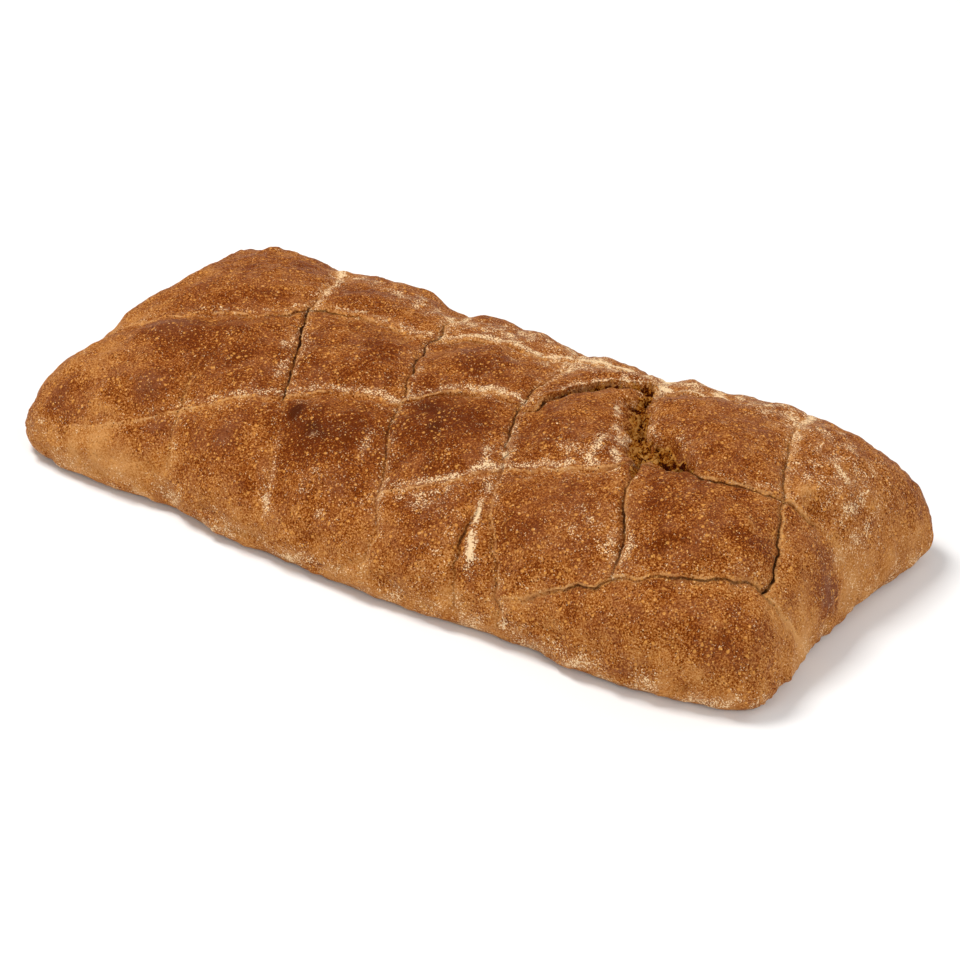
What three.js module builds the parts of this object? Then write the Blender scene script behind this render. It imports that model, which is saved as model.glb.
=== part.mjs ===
// A hearth-baked slab loaf: one closed solid, in millimetres, +Z up.
//
// The dough was set down as a slab, scored across the top with two families of slanting cuts, and
// baked free on a stone. It has a flat sole, a rim that bellies out a little above the sole, low
// pulled corners, a broad crown that is highest towards the ends, and soft pillows between the cuts.
//
// The crust is laid out flat in its own coordinates: u runs along the loaf and v across it, both
// measured in millimetres over the surface from the middle of the crown, as if the crust had been
// peeled off and pressed flat. The cuts are drawn in those coordinates.
import * as THREE from "three";

// Driving dimensions
const RIM_LENGTH = 323; // between the ends, at the widest level
const RIM_WIDTH = 144; // between the long sides, at their corners
const RIM_HEIGHT = 8; // the widest level, above the sole
const CROWN_HEIGHT = 47.8; // middle of the crown, above the sole
const RISE_TO_ENDS = 0.35; // share of the crown height gained towards both ends
const RISE_TO_RIGHT = 0.14; // share gained at the right end and lost at the left one
const RISE_TO_BACK = 0.06; // share gained at the back and lost at the front
const LENGTHWISE_CROWN = { power: 4.8, root: 0.46 }; // a flat back with steep ends
const CROSSWISE_CROWN = { power: 2.7, root: 0.5 }; // a rounder arch across
const SOLE_INSET = 7; // from the widest level in to the edge of the flat sole
const LIP_LENGTH = 12; // crust between the widest level and the sole, over the surface
const CORNER_RADIUS = 22;

// How far the four corners are pulled from a true rectangle, [along, across]
const FRONT_LEFT = [-1.4, -7];
const FRONT_RIGHT = [2, 9];
const BACK_RIGHT = [0.6, -1];
const BACK_LEFT = [-1.7, 1];
// How far the middle of each side swells out (or, below zero, is drawn in)
const FRONT_SWELL = 8.2;
const BACK_SWELL = 1.2;
const RIGHT_SWELL = -8;
const LEFT_SWELL = -1.3;
// Lobes along the foot of the front side
const LOBE_REACH = 20;
const FRONT_LOBES = [
  { at: -85, out: -4.2 },
  { at: 15, out: 1.1 },
  { at: 65, out: -1 },
  { at: 110, out: 3.2 },
];

// Cuts across the crust. Those of the first family climb to the right, those of the second fall.
const CUTS = [
  {
    path: [[-150, -28], [-112, -11], [-86, 0], [-62, 16], [-32, 21], [-4, 35], [32, 44], [70, 62]],
    width: 9,
    depth: 2.6,
  },
  { path: [[-128, -76], [-90, -60], [-58, -39], [-28, -21], [0, -10], [30, -1]], width: 8, depth: 2.6 },
  { path: [[30, -1], [38, 10], [46, 21], [55, 28], [63, 29]], width: 11, depth: 4.5 },
  { path: [[4, -59], [36, -46], [62, -32], [90, -22]], width: 8, depth: 2.8 },
  { path: [[88, -20], [104, -15], [118, -13], [146, -9], [172, 4]], width: 9, depth: 4 },
  { path: [[62, -82], [85, -72], [103, -64], [128, -56], [154, -45], [182, -32]], width: 8, depth: 3.4 },
  { path: [[-100, 52], [-84, 20], [-68, -10], [-53, -35], [-38, -72]], width: 8, depth: 2.8 },
  { path: [[-48, 58], [-30, 26], [-20, -5], [-8, -30], [4, -62], [10, -80]], width: 8, depth: 2.8 },
  { path: [[14, 60], [28, 20], [33, -12], [43, -38], [54, -66], [62, -86]], width: 8, depth: 2.8 },
  { path: [[50, 60], [60, 34]], width: 8, depth: 2.6 },
  { path: [[60, 34], [68, 16], [79, -2], [86, -14]], width: 14, depth: 6 },
  { path: [[86, -14], [94, -36], [101, -50], [103, -62]], width: 8, depth: 3.4 },
  { path: [[112, 58], [124, 26], [136, -2], [150, -26], [153, -45]], width: 8, depth: 3 },
];
const CUT_SAMPLES = 24; // straight steps along each cut
const PILLOW_HEIGHT = 2.4; // how far the crust stands up between cuts
const PILLOW_REACH = 13; // how far from a cut it takes to do so
const PILLOW_SINK = 1.6; // how far the feet of the pillows lie under the plain form

// Facets of the crust
const STEPS_ALONG = 84;
const STEPS_ACROSS = 44;

/** Height of an arch at x, from 1 in the middle to 0 at x = 1 and -1, where it stands upright. */
function arch(x, { power, root }) {
  return Math.max(0, 1 - Math.abs(x) ** power) ** root;
}

/** Half of an arch, measured along its curve: its length, and where a share of that length lies. */
function measureHalfArch(halfSpan, height, shape) {
  const steps = 2000;
  const places = [0];
  const lengths = [0];
  let lastZ = height;
  for (let i = 1; i <= steps; i++) {
    const place = Math.sin((i / steps) * (Math.PI / 2)); // closer steps where the arch stands upright
    const z = height * arch(place, shape);
    const run = halfSpan * (place - places[i - 1]);
    lengths.push(lengths[i - 1] + Math.hypot(run, z - lastZ));
    places.push(place);
    lastZ = z;
  }
  const length = lengths[steps];
  /** Place across the span, -1 to 1, of a share of the curve's length, -1 to 1. */
  function placeAt(share) {
    const wanted = Math.min(1, Math.abs(share)) * length;
    let i = 1;
    while (i < steps && lengths[i] < wanted) i++;
    const part = (wanted - lengths[i - 1]) / (lengths[i] - lengths[i - 1]);
    return Math.sign(share) * (places[i - 1] + part * (places[i] - places[i - 1]));
  }
  return { length, placeAt };
}

const RISE = CROWN_HEIGHT - RIM_HEIGHT;
const along = measureHalfArch(RIM_LENGTH / 2, RISE, LENGTHWISE_CROWN);
const across = measureHalfArch(RIM_WIDTH / 2, RISE, CROSSWISE_CROWN);

/** The plain form of the loaf, before its cuts and pillows: the point at crust coordinates (u, v). */
function formPoint(u, v) {
  // Past the rim the crust tucks under: rings of it run inwards from the rim to the sole.
  const past = Math.max(Math.abs(u) - along.length, Math.abs(v) - across.length, 0);
  const a = along.placeAt(u / (along.length + past));
  const b = across.placeAt(v / (across.length + past));

  let x = (RIM_LENGTH / 2) * a;
  let y = (RIM_WIDTH / 2) * b;
  for (const [[dx, dy], sideA, sideB] of [
    [FRONT_LEFT, -1, -1],
    [FRONT_RIGHT, 1, -1],
    [BACK_RIGHT, 1, 1],
    [BACK_LEFT, -1, 1],
  ]) {
    const share = ((1 + sideA * a) * (1 + sideB * b)) / 4;
    x += dx * share;
    y += dy * share;
  }
  const front = (1 - b) / 2;
  const right = (1 + a) / 2;
  y += (1 - a * a) * (BACK_SWELL * (1 - front) - FRONT_SWELL * front);
  x += (1 - b * b) * (RIGHT_SWELL * right - LEFT_SWELL * (1 - right));
  for (const { at, out } of FRONT_LOBES) y -= out * front ** 2 * Math.exp(-(((x - at) / LOBE_REACH) ** 2));

  // Round the corners: a pull inwards that only acts close to them
  const nearEnd = Math.abs(a) ** (RIM_LENGTH / CORNER_RADIUS);
  const nearSide = Math.abs(b) ** (RIM_WIDTH / CORNER_RADIUS);
  const pull = 0.3 * CORNER_RADIUS * nearEnd * nearSide;
  const turn = past / LIP_LENGTH * (Math.PI / 2);
  const inset = SOLE_INSET * (1 - Math.cos(turn));
  const reach = Math.hypot(nearEnd, nearSide) || 1;
  x -= Math.sign(a) * (pull + (inset * nearEnd) / reach);
  y -= Math.sign(b) * (pull + (inset * nearSide) / reach);

  const top = CROWN_HEIGHT * (1 + RISE_TO_RIGHT * a + RISE_TO_ENDS * a * a) * (1 + RISE_TO_BACK * b);
  const dome = (top - RIM_HEIGHT) * arch(a, LENGTHWISE_CROWN) * arch(b, CROSSWISE_CROWN);
  const z = past > 0 ? RIM_HEIGHT * (1 - Math.sin(turn)) : RIM_HEIGHT + dome;
  return new THREE.Vector3(x, y, z);
}

/** Outward direction of the plain form at (u, v), from two short steps on its surface. */
function formNormal(u, v) {
  const step = 0.8;
  const alongStep = formPoint(u + step, v).sub(formPoint(u - step, v));
  const acrossStep = formPoint(u, v + step).sub(formPoint(u, v - step));
  return alongStep.cross(acrossStep).normalize();
}

const cutLines = CUTS.map(({ path, width, depth }) => {
  const curve = new THREE.SplineCurve(path.map(([u, v]) => new THREE.Vector2(u, v)));
  return { points: curve.getPoints(CUT_SAMPLES), width, depth };
});

/** Distance from (u, v) to a line of points. */
function distanceTo(points, u, v) {
  let nearest = Infinity;
  for (let i = 1; i < points.length; i++) {
    const from = points[i - 1];
    const step = points[i].clone().sub(from);
    const away = new THREE.Vector2(u, v).sub(from);
    const share = THREE.MathUtils.clamp(away.dot(step) / step.lengthSq(), 0, 1);
    nearest = Math.min(nearest, away.addScaledVector(step, -share).length());
  }
  return nearest;
}

/** How far the crust stands off the plain form at (u, v): sunk pillows, less the cuts between them. */
function reliefAt(u, v) {
  let nearest = Infinity;
  let groove = 0;
  for (const { points, width, depth } of cutLines) {
    const distance = distanceTo(points, u, v);
    nearest = Math.min(nearest, distance);
    groove = Math.max(groove, depth * Math.exp(-((distance / (width / 2)) ** 2)));
  }
  const pillow = PILLOW_HEIGHT * (1 - Math.exp(-((nearest / PILLOW_REACH) ** 2)));
  // The relief dies away down the sides, so that the rim and the sole keep their shape.
  const rimFade = THREE.MathUtils.smoothstep(across.length - Math.abs(v), 0, 30);
  const endFade = THREE.MathUtils.smoothstep(along.length - Math.abs(u), 0, 30);
  return (pillow - PILLOW_SINK - groove) * rimFade * endFade;
}

/** The loaf as one closed surface: a net over the crust, gathered at its edge by the flat sole. */
function loafGeometry() {
  const netLength = 2 * (along.length + LIP_LENGTH);
  const netWidth = 2 * (across.length + LIP_LENGTH);
  const net = new THREE.PlaneGeometry(netLength, netWidth, STEPS_ALONG, STEPS_ACROSS);
  const flat = net.getAttribute("position");
  const positions = [];
  for (let i = 0; i < flat.count; i++) {
    const u = flat.getX(i);
    const v = flat.getY(i);
    const point = formPoint(u, v).addScaledVector(formNormal(u, v), reliefAt(u, v));
    positions.push(point.x, point.y, point.z);
  }

  const columns = STEPS_ALONG + 1;
  const edge = [];
  for (let i = 0; i < STEPS_ALONG; i++) edge.push(i);
  for (let j = 0; j < STEPS_ACROSS; j++) edge.push(j * columns + STEPS_ALONG);
  for (let i = STEPS_ALONG; i > 0; i--) edge.push(STEPS_ACROSS * columns + i);
  for (let j = STEPS_ACROSS; j > 0; j--) edge.push(j * columns);
  for (const corner of edge) positions[3 * corner + 2] = 0; // the whole edge lies in the sole's plane

  const middle = positions.length / 3;
  positions.push(0, 0, 0);
  const faces = [...net.getIndex().array];
  edge.forEach((corner, i) => faces.push(middle, corner, edge[(i + 1) % edge.length]));

  const geometry = new THREE.BufferGeometry();
  geometry.setAttribute("position", new THREE.Float32BufferAttribute(positions, 3));
  geometry.setIndex(faces);
  geometry.computeBoundingBox();
  const centre = geometry.boundingBox.getCenter(new THREE.Vector3());
  geometry.translate(-centre.x, -centre.y, 0); // the origin is under the middle of the loaf
  geometry.computeVertexNormals();
  return geometry;
}

const crust = new THREE.MeshStandardMaterial({ color: 0x9c5f2e, roughness: 0.75, metalness: 0 });
const loaf = new THREE.Mesh(loafGeometry(), crust);
loaf.name = "loaf";

const group = new THREE.Group();
group.add(loaf);
export default group;
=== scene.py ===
"""A scored hearth loaf: one solid of bread with a browned, speckled and floury crust.

The crust is laid out flat in its own plan, as if it had been peeled off the loaf and pressed
flat: u runs along the loaf and v across it, in millimetres over the surface from the middle of
the crown, so the front is at negative v. Cuts, blisters, flour and browning are all drawn in
that plan, and the plan is then carried onto the loaf's form. Lengths are in millimetres up to the
point where a mesh is made, and in metres from there on.
"""
from __future__ import annotations

import logging
import math
from dataclasses import dataclass
from enum import Enum

import bpy
import numpy as np
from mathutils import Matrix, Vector


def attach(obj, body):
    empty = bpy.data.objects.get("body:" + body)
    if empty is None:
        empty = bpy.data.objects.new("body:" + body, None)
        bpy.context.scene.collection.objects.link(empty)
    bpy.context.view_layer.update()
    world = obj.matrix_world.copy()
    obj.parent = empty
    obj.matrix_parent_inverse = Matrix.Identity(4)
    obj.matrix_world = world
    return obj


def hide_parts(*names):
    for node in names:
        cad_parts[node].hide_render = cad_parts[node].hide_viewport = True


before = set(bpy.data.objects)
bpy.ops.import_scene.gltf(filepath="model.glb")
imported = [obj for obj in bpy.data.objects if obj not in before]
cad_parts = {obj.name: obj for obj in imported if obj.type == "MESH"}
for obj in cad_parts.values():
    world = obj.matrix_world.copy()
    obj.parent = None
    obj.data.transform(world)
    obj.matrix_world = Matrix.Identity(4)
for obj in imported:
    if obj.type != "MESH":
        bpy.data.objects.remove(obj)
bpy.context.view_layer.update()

LOG = logging.getLogger("loaf")
MM = 0.001  # one millimetre, in metres
TINY = 1e-9  # keeps a division from meeting zero
TURN = 2.0 * math.pi  # once round
CURVE_PLACES = 4001  # places in the table of a curve
CUT_REACH = 22.0  # millimetres from a cut beyond which it does nothing
Array = np.ndarray
Colour = tuple[float, float, float]
WHITE: Colour = (1.0, 1.0, 1.0)


class Slant(Enum):
    """Which of the two families of cuts a cut belongs to."""

    RISING = "rising"
    FALLING = "falling"


# ---- Small curves and grain, as whole arrays ----


def ease(low: float, high: float, x: Array) -> Array:
    """Smooth step from 0 at low to 1 at high.

    Args:
        low: value at and below which the result is 0.
        high: value at and above which the result is 1.
        x: values to ease.

    Returns:
        t squared times (3 minus 2 t), with t the clamped share of the way from low to high.
    """
    t = np.clip((x - low) / (high - low), 0.0, 1.0)
    return t * t * (3.0 - 2.0 * t)


def bell(x: Array, width: float) -> Array:
    """Bell curve: e to the minus (x over width) squared."""
    return np.exp(-((x / width) ** 2))


def drift(u: Array, v: Array, wavelength: float, seed: int, stretch: float = 1.0) -> Array:
    """Smooth random ups and downs of one size, like hand-rolled dough.

    Args:
        u: plan coordinates along the loaf.
        v: plan coordinates across it.
        wavelength: middle size of a wave, in millimetres.
        seed: which pattern.
        stretch: how many times longer the waves are along u than across.

    Returns:
        The sum of forty plane waves with random headings and phases, and lengths near that
        of the middle one, scaled to a spread of about 1.
    """
    rng = np.random.default_rng(seed)
    total = np.zeros_like(u)
    count = 40
    for _ in range(count):
        heading = rng.uniform(0.0, TURN)
        reach = wavelength * rng.uniform(0.7, 1.4)
        phase = rng.uniform(0.0, TURN)
        along = math.cos(heading) * u / stretch + math.sin(heading) * v
        total += np.cos(TURN * along / reach + phase)
    return total / math.sqrt(count / 2.0)


def pimples(u: Array, v: Array, spacing: float, share: float, seed: int) -> Array:
    """Scattered round bumps, one at most in each square of a jittered lattice.

    Args:
        u: plan coordinates along the loaf.
        v: plan coordinates across it.
        spacing: side of a lattice square, in millimetres.
        share: part of the squares that hold a bump, 0 to 1.
        seed: which scatter.

    Returns:
        At each point the tallest bump that covers it, where a bump is (1 minus (distance over
        its radius) squared) squared times its own random height.
    """
    rng = np.random.default_rng(seed)
    size = 512
    jitter_u, jitter_v, chance, bulk = rng.random((4, size, size))
    cell_u = np.floor(u / spacing).astype(int)
    cell_v = np.floor(v / spacing).astype(int)
    best = np.zeros_like(u)
    for du in (-1, 0, 1):
        for dv in (-1, 0, 1):
            i, j = cell_u + du, cell_v + dv
            key = (i % size, j % size)
            off_u = u - (i + jitter_u[key]) * spacing
            off_v = v - (j + jitter_v[key]) * spacing
            radius = spacing * (0.35 + 0.5 * bulk[key])
            dome = np.clip(1.0 - (off_u**2 + off_v**2) / radius**2, 0.0, None) ** 2
            best = np.maximum(best, np.where(chance[key] < share, dome * (0.4 + bulk[key]), 0.0))
    return best


def crowded(half: float, count: int, middle: float, reach: float, extra: float) -> Array:
    """Places from -half to half that stand closer together around a middle.

    Args:
        half: half of the whole span.
        count: number of steps between the places.
        middle: where they stand closest.
        reach: how far the crowding reaches.
        extra: how many more places there are at the middle, as a share of the usual number.

    Returns:
        The places, at equal shares of the area under 1 plus the extra times a bell curve.
    """
    fine = np.linspace(-half, half, CURVE_PLACES)
    density = 1.0 + extra * bell(fine - middle, reach)
    area = np.concatenate([[0.0], np.cumsum((density[1:] + density[:-1]) / 2.0)])
    return np.interp(np.linspace(0.0, area[-1], count + 1), area, fine)


@dataclass(frozen=True)
class Patch:
    """A soft-edged oval on the crust plan.

    Fields: its middle (u, v), its half sizes along and across, its turn in degrees from the u
    axis, and how strongly it acts.
    """

    u: float
    v: float
    along: float
    across: float
    turn: float
    amount: float

    def cover(self, u: Array, v: Array) -> Array:
        """How much of the patch lies on each point.

        Args:
            u: plan coordinates along the loaf.
            v: plan coordinates across it.

        Returns:
            The amount times a bell curve over the oval's own two axes.
        """
        cos, sin = math.cos(math.radians(self.turn)), math.sin(math.radians(self.turn))
        a = ((u - self.u) * cos + (v - self.v) * sin) / self.along
        b = ((v - self.v) * cos - (u - self.u) * sin) / self.across
        return self.amount * np.exp(-(a**2 + b**2))


def ovals(*rows: tuple[float, ...]) -> tuple[Patch, ...]:
    """Patches from rows of u, v, half size along and across, turn and amount."""
    return tuple(Patch(*row) for row in rows)


def layered(patches: tuple[Patch, ...], u: Array, v: Array) -> Array:
    """Sum of the covers of several patches."""
    return sum((patch.cover(u, v) for patch in patches), np.zeros_like(u))


# ---- The plain form ----


@dataclass(frozen=True)
class Arch:
    """Half of a mid-line section of the crown, measured along its own curve.

    Fields: the half span, the height over the widest level, and the power and root of its shape,
    which is (1 minus place to the power) to the root.
    """

    half_span: float
    height: float
    power: float
    root: float

    def rise(self, place: Array) -> Array:
        """Share of the height at a place across the span, from -1 to 1."""
        return np.clip(1.0 - np.abs(place) ** self.power, 0.0, 1.0) ** self.root

    def curve(self) -> tuple[Array, Array]:
        """The curve as a lookup from its length to the place across the span.

        Returns:
            Lengths along the curve from the crown, and the places (0 to 1) they reach.
        """
        place = np.sin(np.linspace(0.0, TURN / 4.0, CURVE_PLACES))
        steps = np.hypot(
            np.diff(self.half_span * place), np.diff(self.height * self.rise(place))
        )
        return np.concatenate([[0.0], np.cumsum(steps)]), place

    def length(self) -> float:
        """Length of the half curve."""
        return float(self.curve()[0][-1])

    def place_at(self, share: Array) -> Array:
        """Place across the span (-1 to 1) of a share of the curve's length (-1 to 1)."""
        lengths, place = self.curve()
        return np.sign(share) * np.interp(np.abs(share) * lengths[-1], lengths, place)


@dataclass(frozen=True)
class LoafForm:
    """The loaf's plain form, before anything is cut or blown up on it.

    Fields: the sizes of the rim (its widest level), of the crown over it, with the power and root
    of its two arches, and of the crust that tucks under to the sole; how round the corners are
    and how far they are drawn in for it; how far each corner is pulled and each side swells; and
    the lobes along the foot of the front, each as (place along, how far out).
    """

    rim_length: float = 323.0
    rim_width: float = 144.0
    rim_height: float = 8.0
    crown_height: float = 47.8
    lengthwise_shape: tuple[float, float] = (4.8, 0.46)
    crosswise_shape: tuple[float, float] = (2.7, 0.5)
    rise_to_ends: float = 0.35
    rise_to_right: float = 0.14
    rise_to_back: float = 0.06
    sole_inset: float = 7.0
    lip_length: float = 12.0
    corner_radius: float = 22.0
    corner_pull: float = 0.3
    front_left: tuple[float, float] = (-1.4, -7.0)
    front_right: tuple[float, float] = (2.0, 9.0)
    back_right: tuple[float, float] = (0.6, -1.0)
    back_left: tuple[float, float] = (-1.7, 1.0)
    front_swell: float = 8.2
    back_swell: float = 1.2
    right_swell: float = -8.0
    left_swell: float = -1.3
    lobe_reach: float = 20.0
    front_lobes: tuple[tuple[float, float], ...] = (
        (-85.0, -4.2),
        (15.0, 1.1),
        (65.0, -1.0),
        (110.0, 3.2),
    )

    def lengthwise(self) -> Arch:
        """The section along the loaf: a flat back with steep ends."""
        return Arch(
            self.rim_length / 2.0, self.crown_height - self.rim_height, *self.lengthwise_shape
        )

    def crosswise(self) -> Arch:
        """The section across the loaf: a round arch."""
        return Arch(
            self.rim_width / 2.0, self.crown_height - self.rim_height, *self.crosswise_shape
        )

    def reach(self) -> tuple[float, float]:
        """Half sizes of the crust plan from the crown to the rim, along and across."""
        return self.lengthwise().length(), self.crosswise().length()

    def point(self, u: Array, v: Array) -> Array:
        """Place of each plan point on the loaf.

        The plan is carried over two arches; the outline is bent by its corners, swells and
        lobes; past the rim the crust turns through a quarter circle down to the sole.

        Args:
            u: plan coordinates along the loaf.
            v: plan coordinates across it.

        Returns:
            Points in millimetres, in the last axis.
        """
        long_arch, cross_arch = self.lengthwise(), self.crosswise()
        half_u, half_v = self.reach()
        past = np.maximum(np.maximum(np.abs(u) - half_u, np.abs(v) - half_v), 0.0)
        a = long_arch.place_at(u / (half_u + past))
        b = cross_arch.place_at(v / (half_v + past))
        x = self.rim_length / 2.0 * a
        y = self.rim_width / 2.0 * b
        for (dx, dy), side_a, side_b in (
            (self.front_left, -1, -1),
            (self.front_right, 1, -1),
            (self.back_right, 1, 1),
            (self.back_left, -1, 1),
        ):
            share = (1.0 + side_a * a) * (1.0 + side_b * b) / 4.0
            x = x + dx * share
            y = y + dy * share
        front, right = (1.0 - b) / 2.0, (1.0 + a) / 2.0
        y = y + (1.0 - a**2) * (self.back_swell * (1.0 - front) - self.front_swell * front)
        x = x + (1.0 - b**2) * (self.right_swell * right - self.left_swell * (1.0 - right))
        for at, out in self.front_lobes:
            y = y - out * front**2 * bell(x - at, self.lobe_reach)
        near_end = np.abs(a) ** (self.rim_length / self.corner_radius)
        near_side = np.abs(b) ** (self.rim_width / self.corner_radius)
        pull = self.corner_pull * self.corner_radius * near_end * near_side
        turn = past / self.lip_length * (TURN / 4.0)
        inset = self.sole_inset * (1.0 - np.cos(turn))
        span = np.maximum(np.hypot(near_end, near_side), TINY)
        x = x - np.sign(a) * (pull + inset * near_end / span)
        y = y - np.sign(b) * (pull + inset * near_side / span)
        top = self.crown_height * (1.0 + self.rise_to_right * a + self.rise_to_ends * a**2)
        top = top * (1.0 + self.rise_to_back * b)
        dome = (top - self.rim_height) * long_arch.rise(a) * cross_arch.rise(b)
        z = np.where(past > 0, self.rim_height * (1.0 - np.sin(turn)), self.rim_height + dome)
        return np.stack([x, y, z], axis=-1)

    def outward(self, u: Array, v: Array, step: float = 0.8) -> Array:
        """Outward direction at each plan point.

        Args:
            u: plan coordinates along the loaf.
            v: plan coordinates across it.
            step: how far the two short steps over the surface reach.

        Returns:
            The cross product of a step along and a step across, at unit length.
        """
        along = self.point(u + step, v) - self.point(u - step, v)
        across = self.point(u, v + step) - self.point(u, v - step)
        normal = np.cross(along, across)
        return normal / np.maximum(np.linalg.norm(normal, axis=-1, keepdims=True), TINY)


# ---- The cuts ----


@dataclass(frozen=True)
class CutReading:
    """What one cut does at every point near it.

    Fields: the signed distance from the cut (positive on its back or right side) and the
    direction across it, from its front side to its back one; and there the cut's gap, depth,
    ear, crack, seam and flour.
    """

    distance: Array
    across: Array
    gap: Array
    depth: Array
    ear: Array
    crack: Array
    seam: Array
    flour: Array


@dataclass(frozen=True)
class Cut:
    """One cut in the crust.

    Fields: its family, and its stations. Each station is (u, v, gap, depth, ear, crack, seam,
    flour): where it is; how wide it gapes and how deep it is, in millimetres; how far the lip on
    its back side stands up (below zero, the lip on its front side); and, from 0 to 1, how dark
    the painted shade in and beside its crack and in its torn opening is, how bare the dough beside
    it is, and how much flour lies along it. Then which wander its line takes and how far, how wide
    its front and back walls slope, and in how many short steps the line is drawn from one station
    to the next.
    """

    slant: Slant
    stations: tuple[tuple[float, ...], ...]
    seed: int
    wander: float = 0.35
    front_slope: float = 1.0
    back_slope: float = 1.0
    span_steps: int = 10

    def line(self) -> Array:
        """The stations joined by a smooth curve in short steps.

        Returns:
            Rows of the eight station values, from a Catmull-Rom spline through the stations,
            with a small random wander added to its u and v and its gap made ragged.
        """
        knots = np.array(self.stations, dtype=float)
        padded = np.vstack([2 * knots[0] - knots[1], knots, 2 * knots[-1] - knots[-2]])
        t = np.linspace(0.0, 1.0, self.span_steps, endpoint=False)[:, None]
        spans = []
        for before, start, end, after in zip(padded, padded[1:], padded[2:], padded[3:]):
            square = 2.0 * before - 5.0 * start + 4.0 * end - after
            cube = 3.0 * start - before - 3.0 * end + after
            spans.append(0.5 * (2.0 * start + (end - before) * t + square * t**2 + cube * t**3))
        rows = np.vstack([*spans, knots[-1:]])
        run = np.concatenate([[0.0], np.cumsum(np.hypot(*np.diff(rows[:, :2], axis=0).T))])
        flat = run * 0.0
        for axis, seed in ((0, self.seed), (1, self.seed + 50)):
            wander = drift(run, flat, 10.0, seed) + 0.5 * drift(run, flat, 3.5, seed + 20)
            rows[:, axis] += self.wander * wander
        rows[:, 2] *= 1.0 + 0.28 * drift(run, flat, 6.0, self.seed + 90)
        rows[:, 2:4] = np.maximum(rows[:, 2:4], 0.0)
        rows[:, 5:] = np.clip(rows[:, 5:], 0.0, 1.0)
        return rows

    def read(self, u: Array, v: Array) -> CutReading:
        """Measure every plan point against the cut.

        Each straight step of the line is met by the foot of the perpendicular from the point,
        held to the step's ends; the nearest foot wins.

        Args:
            u: plan coordinates along the loaf, one dimension.
            v: plan coordinates across it.

        Returns:
            The cut's reading; past its two ends every value but the distance fades out.
        """
        rows = self.line()
        best = np.full(u.shape, CUT_REACH)
        side = np.ones_like(u)
        across = np.zeros(u.shape + (2,))
        values = np.zeros((6,) + u.shape)
        last = len(rows) - 2
        for index, (start, end) in enumerate(zip(rows[:-1], rows[1:])):
            low = np.minimum(start[:2], end[:2]) - CUT_REACH
            high = np.maximum(start[:2], end[:2]) + CUT_REACH
            near = np.flatnonzero((u > low[0]) & (u < high[0]) & (v > low[1]) & (v < high[1]))
            step = end[:2] - start[:2]
            off_u, off_v = u[near] - start[0], v[near] - start[1]
            share = (off_u * step[0] + off_v * step[1]) / (step @ step)
            held = np.clip(share, 0.0, 1.0)
            away = np.hypot(off_u - held * step[0], off_v - held * step[1])
            won = away < best[near]
            where = near[won]
            best[where] = away[won]
            cross = step[0] * off_v - step[1] * off_u
            side[where] = np.sign(cross[won])
            across[where] = np.array([-step[1], step[0]]) / math.hypot(*step)
            along = held[won]
            beyond = np.zeros_like(along)
            if index == 0:
                beyond = np.maximum(-share[won], 0.0)
            if index == last:
                beyond = np.maximum(share[won] - 1.0, 0.0)
            fade = bell(beyond * math.hypot(*step), 2.0)
            for k in range(6):
                values[k, where] = (start[2 + k] + along * (end[2 + k] - start[2 + k])) * fade
        return CutReading(side * best, across, *values)


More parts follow.
